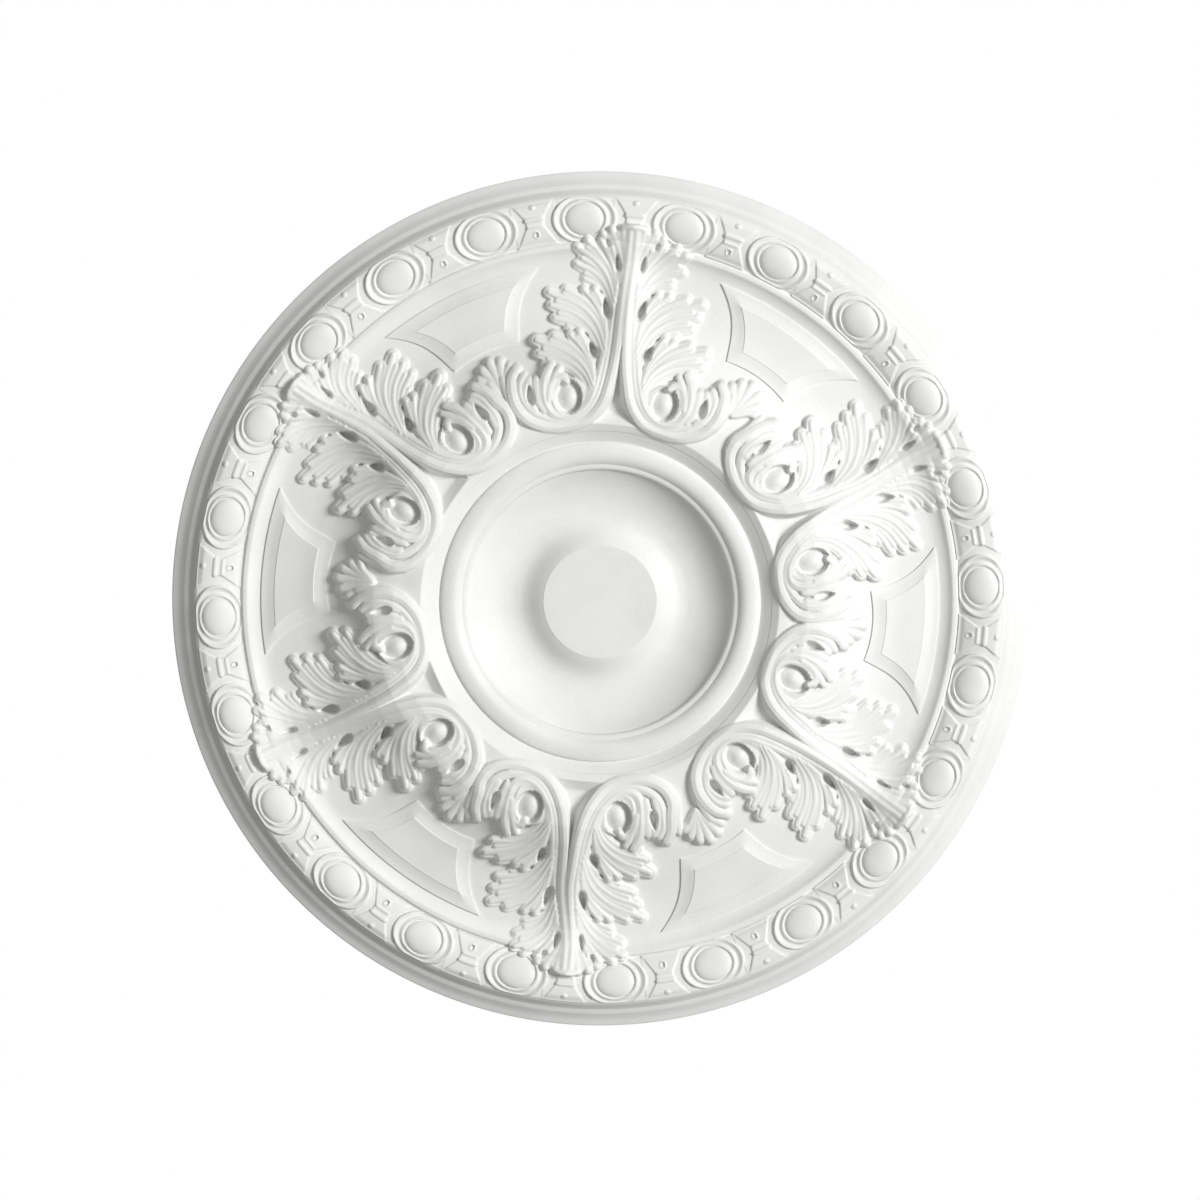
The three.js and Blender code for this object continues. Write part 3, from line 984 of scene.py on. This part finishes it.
# The fall of the plate's sides for each millimetre across
DART_SLOPE = 1.6
# The bars across the waist: points across and out, half-widths and rise
DART_BARS = [
    ([(-6, -2.6), (0, -2.6), (6, -2.6)], (1.3, 1.3), 2.9),
    ([(-6.6, 3.6), (0, 3.6), (6.6, 3.6)], (2.1, 2.1), 3.2),
]
DART_BAR_BACK = 0.7
# The drilled dot near the inner edge: its place, squash, radius and rise, and its hole's radius and floor
DRILLED_PLACE = -9.4
DRILLED_SQUASH = 0.9
DRILLED_RADIUS = 3.4
DRILLED_RISE = 0.9
DRILLED_HOLE = 1.8
DRILLED_FLOOR = 0.3
# The plain dot near the outer edge
DOT_PLACE = 14.2
DOT_RADIUS = 2.4
DOT_RISE = 1.4


def dart_rise(x, y):
    """Rise of a dart over its band: a plate with a waist, the bars across it and the two dots."""
    flare = DART_FLARE * np.maximum(np.abs(y - DART_MIDDLE) - DART_STRAIGHT, 0) ** DART_BEND
    half = DART_WAIST + flare
    rise = np.clip(DART_PLATE + DART_SLOPE * (half - np.abs(x)), DART_GROUND, DART_PLATE)
    for points, half_widths, top in DART_BARS:
        line = smooth_line(points, DART_STEPS)
        raise_rib(rise, x, y, np.full(x.shape, top), line, half_widths, (0, 0), DART_BAR_BACK)
    gap = np.hypot(x, (y - DRILLED_PLACE) * DRILLED_SQUASH)
    lid = DART_PLATE + DRILLED_RISE * np.sqrt(np.maximum(1 - (gap / DRILLED_RADIUS) ** 2, 0))
    rise = np.maximum(rise, np.where(gap < DRILLED_RADIUS, lid, rise))
    rise = np.where(gap < DRILLED_HOLE, DRILLED_FLOOR, rise)
    gap = np.hypot(x, y - DOT_PLACE)
    dot = DOT_RISE * np.sqrt(1 - np.minimum(gap / DOT_RADIUS, 1) ** 2)
    return np.where(gap < DOT_RADIUS, rise + dot, rise)


class ROSE_OT_darts(bpy.types.Operator):
    """Carves the dart that fills the waist between two shells, and repeats it round the border"""

    bl_idname = "rose.darts"
    bl_label = "Darts"

    def execute(self, context):
        for index in range(EGGS):
            bm, across, up = grid_places(DART_ROWS, DART_COLUMNS)
            x, y = across * DART_HALF_WIDTH, up * BAND_HALF_WIDTH
            rise = dart_rise(x, y)
            for vert, px, py, pz in zip(bm.verts, x.tolist(), y.tolist(), rise.tolist()):
                vert.co = on_band(px, py, pz, index * EGG_PITCH)
            close_sheet(bm, lambda height: height + DART_WALL)
            finish_piece(bm, f"dart_{index + 1}", DART_ARRIS)
        return {"FINISHED"}


WHITE = (1, 1, 1, 1)


def pale_floor(hex_colour):
    """Plain matt floor, which throws soft light up at the rose."""
    material, tree = blank_material("pale_floor")
    shader = add_node(
        tree, "ShaderNodeBsdfPrincipled", None, {"Base Color": linear(hex_colour), "Roughness": 0.9}
    )
    add_node(tree, "ShaderNodeOutputMaterial", None, {"Surface": shader.outputs["BSDF"]})
    return material


def white_backdrop():
    """A lit white panel, which shows as plain white behind the rose."""
    material, tree = blank_material("white_backdrop")
    glow = add_node(tree, "ShaderNodeEmission", None, {"Color": WHITE, "Strength": 1.0})
    add_node(tree, "ShaderNodeOutputMaterial", None, {"Surface": glow.outputs["Emission"]})
    return material


def white_studio(strength):
    """Even white surroundings, which fill the shadows."""
    world = bpy.data.worlds.new("white_studio")
    world.use_nodes = True
    world.node_tree.nodes.clear()
    light = add_node(
        world.node_tree, "ShaderNodeBackground", None, {"Color": WHITE, "Strength": strength}
    )
    add_node(world.node_tree, "ShaderNodeOutputWorld", None, {"Surface": light.outputs["Background"]})
    return world


def level_sheet(name, size, height, material):
    """A flat square at a height, as an object of the stage."""
    bm = bmesh.new()
    bmesh.ops.create_grid(bm, x_segments=1, y_segments=1, size=size / 2)
    bmesh.ops.translate(bm, verts=bm.verts, vec=(0, 0, height))
    mesh = bpy.data.meshes.new(name)
    bm.to_mesh(mesh)
    bm.free()
    mesh.materials.append(material)
    sheet = bpy.data.objects.new(name, mesh)
    bpy.context.scene.collection.objects.link(sheet)
    return sheet


def square_light(name, size, power):
    """A square area light, which faces down until it is turned."""
    data = bpy.data.lights.new(name, "AREA")
    data.size = size
    data.energy = power
    light = bpy.data.objects.new(name, data)
    bpy.context.scene.collection.objects.link(light)
    return light


def set_camera(stage, right, top, up_axis):
    """Sets the camera under the rose, leaning a little towards the top of the picture."""
    place = -up_axis * math.cos(stage.tilt) + top * math.sin(stage.tilt)
    back = place.normalized()
    turn = Matrix((right, back.cross(right), back)).transposed().to_4x4()
    data = bpy.data.cameras.new("camera")
    data.lens = data.sensor_width * stage.camera_distance / stage.frame_width
    data.clip_end = stage.floor_size
    camera = bpy.data.objects.new("camera", data)
    camera.matrix_world = Matrix.Translation(place * stage.camera_distance) @ turn
    bpy.context.scene.collection.objects.link(camera)
    bpy.context.scene.camera = camera


class ROSE_OT_stage(bpy.types.Operator):
    """Sets the pale floor, the soft studio light, the white backdrop and the camera under the rose"""

    bl_idname = "rose.stage"
    bl_label = "Stage"

    def execute(self, context):
        stage = context.scene.rose_stage
        context.scene.view_settings.view_transform = "Standard"

        floor_finish = pale_floor(context.scene.rose_colours.floor)
        floor = level_sheet("floor", stage.floor_size, -stage.floor_drop, floor_finish)
        context.scene.world = white_studio(stage.world_strength)

        # The picture's right is the rose's +Y and its top is +X, before the roll
        right = Matrix.Rotation(-stage.roll, 3, "Z") @ Vector((0, 1, 0))
        top = Matrix.Rotation(-stage.roll, 3, "Z") @ Vector((1, 0, 0))
        up_axis = Vector((0, 0, 1))
        set_camera(stage, right, top, up_axis)

        key = square_light("key", stage.key_size, stage.key_power)
        level = right * math.cos(stage.key_turn) + top * math.sin(stage.key_turn)
        towards = (level - up_axis).normalized()
        key.location = towards * stage.key_distance
        key.rotation_euler = towards.to_track_quat("Z", "Y").to_euler()

        # A small light over the back, hidden from the main camera by the rose itself
        over_back = square_light("top", stage.top_size, stage.top_power)
        over_back.location = (0, 0, stage.top_height)

        # A white panel far behind the rose, so that it is seen against plain white
        backdrop = level_sheet("backdrop", stage.backdrop_size, stage.backdrop_height, white_backdrop())
        return {"FINISHED"}


class ROSE_PT_panel(bpy.types.Panel):
    """Lists the rose's pieces and their settings"""

    bl_idname = "ROSE_PT_panel"
    bl_label = "Ceiling rose"
    bl_space_type = "VIEW_3D"
    bl_region_type = "UI"
    bl_category = "Ceiling rose"

    def draw(self, context):
        for operator in PIECES:
            self.layout.operator(operator.bl_idname)
        for group in (context.scene.rose_sizes, context.scene.rose_colours, context.scene.rose_stage):
            for name in type(group).__annotations__:
                self.layout.prop(group, name)


PIECES = (ROSE_OT_body, ROSE_OT_sectors, ROSE_OT_panels, ROSE_OT_eggs, ROSE_OT_darts, ROSE_OT_stage)
GROUPS = {"rose_sizes": RoseSizes, "rose_colours": RoseColours, "rose_stage": RoseStage}


def register():
    """Makes the classes known, and hangs the settings on the scene."""
    for cls in (*GROUPS.values(), *PIECES, ROSE_PT_panel):
        bpy.utils.register_class(cls)
    for name, cls in GROUPS.items():
        setattr(bpy.types.Scene, name, PointerProperty(type=cls))


def unregister():
    """Takes away what register set up."""
    for name in GROUPS:
        delattr(bpy.types.Scene, name)
    for cls in (ROSE_PT_panel, *reversed(PIECES), *reversed(GROUPS.values())):
        bpy.utils.unregister_class(cls)


def main():
    """Makes every piece and the stage in order."""
    register()
    bpy.ops.rose.body()
    bpy.ops.rose.sectors()
    bpy.ops.rose.panels()
    bpy.ops.rose.eggs()
    bpy.ops.rose.darts()
    bpy.ops.rose.stage()


if __name__ == "__main__":
    main()
